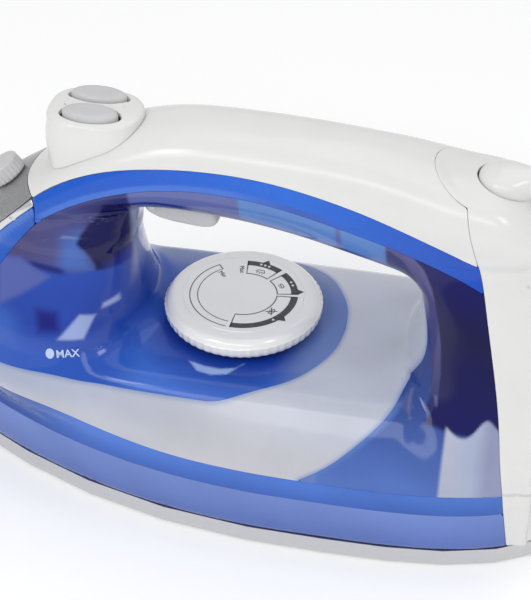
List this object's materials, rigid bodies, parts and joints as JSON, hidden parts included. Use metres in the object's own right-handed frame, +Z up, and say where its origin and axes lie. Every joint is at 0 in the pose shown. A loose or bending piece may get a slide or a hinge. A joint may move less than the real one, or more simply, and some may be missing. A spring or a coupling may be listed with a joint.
{
  "type": "steam iron",
  "caption": "Steam iron with a translucent water tank, closed handle, temperature dial, steam and spray buttons, trigger, filler door and cord swivel.",
  "frame": {"origin": "middle of the footprint on the plane of the sole", "axes": "+X towards the nose, +Y towards the iron's left side, +Z up from the sole"},
  "size_m": [0.2694, 0.116, 0.1456],
  "materials": {
    "white_plastic": "glossy moulded",
    "blue_plastic": "glossy moulded",
    "clear_blue": "translucent, polished",
    "clear_pale": "milky translucent, polished",
    "silver_plastic": "silver painted plastic, satin",
    "grey_plastic": "glossy moulded",
    "bright_trim": "plated",
    "sole_metal": "polished cast",
    "steel": "plain",
    "brass": "plain",
    "dark_plastic": "heat resistant"
  },
  "bodies": {
    "housing": {"soleplate": "sole_metal", "steam_chamber_lid": "steel", "heating_element": "steel", "thermostat": "brass", "lid_screw_1": "steel", "lid_screw_2": "steel", "lid_screw_3": "steel", "lid_screw_4": "steel", "base_skirt": "clear_blue", "tank_tub": "clear_blue", "tank_window": "clear_pale", "tank_top": "clear_blue", "shaft_sleeve": "clear_blue", "dial_seat": "blue_plastic", "handle_lower": "clear_blue", "handle_band_left": "blue_plastic", "handle_band_right": "blue_plastic", "handle_cover": "white_plastic", "button_housing": "white_plastic", "steam_pump": "grey_plastic", "spray_pump": "grey_plastic", "steam_spring": "steel", "spray_spring": "steel", "trigger_pin": "steel", "silver_fascia": "silver_plastic", "fascia_lip": "bright_trim", "front_band": "blue_plastic", "filler_hinge_pin": "steel", "spray_nozzle": "grey_plastic", "rear_column": "clear_blue", "rear_cover": "white_plastic", "cord_socket": "dark_plastic", "terminal_block": "dark_plastic", "terminal_screw_1": "brass", "terminal_screw_2": "brass", "terminal_screw_3": "brass"},
    "dial": {"dial": "white_plastic", "thermostat_shaft": "steel"},
    "steam_button": {"steam_button": "grey_plastic", "steam_piston": "dark_plastic"},
    "spray_button": {"spray_button": "grey_plastic", "spray_piston": "dark_plastic"},
    "trigger": {"steam_trigger": "grey_plastic", "trigger_spring": "steel"},
    "steam_knob": {"steam_knob": "grey_plastic", "valve_rod": "steel"},
    "filler_door": {"filler_door": "blue_plastic"},
    "cord_swivel": {"cord_swivel": "white_plastic"}
  },
  "joints": [
    {"name": "dial_turn", "type": "hinge", "parent": "housing", "child": "dial", "pos_m": [0.00525, 0, 0.065], "axis": [0, 0, 1], "range_deg": [-270, 55]},
    {"name": "steam_press", "type": "slide", "parent": "housing", "child": "steam_button", "axis": [0, 0, -1], "range_m": [0, 0.004], "stiffness_N_per_m": 350, "springref_m": -0.003, "deforming": ["steam_spring"]},
    {"name": "spray_press", "type": "slide", "parent": "housing", "child": "spray_button", "axis": [0, 0, -1], "range_m": [0, 0.004], "stiffness_N_per_m": 350, "springref_m": -0.003, "deforming": ["spray_spring"]},
    {"name": "trigger_pull", "type": "hinge", "parent": "housing", "child": "trigger", "pos_m": [0.03675, 0, 0.1076], "axis": [0, 1, 0], "range_deg": [0, 7], "stiffness_Nm_per_rad": 0.4, "springref_deg": -5.73},
    {"name": "steam_set", "type": "hinge", "parent": "housing", "child": "steam_knob", "pos_m": [0.09125, 0, 0.1088], "axis": [0.5592, 0, 0.829], "range_deg": [0, 90]},
    {"name": "filler_open", "type": "hinge", "parent": "housing", "child": "filler_door", "pos_m": [0.11265, 0, 0.076], "axis": [0, -1, 0], "range_deg": [0, 95]},
    {"name": "cord_swing", "type": "hinge", "parent": "housing", "child": "cord_swivel", "pos_m": [-0.08575, 0, 0.13], "axis": [0, 0, 1], "range_deg": [-30, 30]}
  ]
}
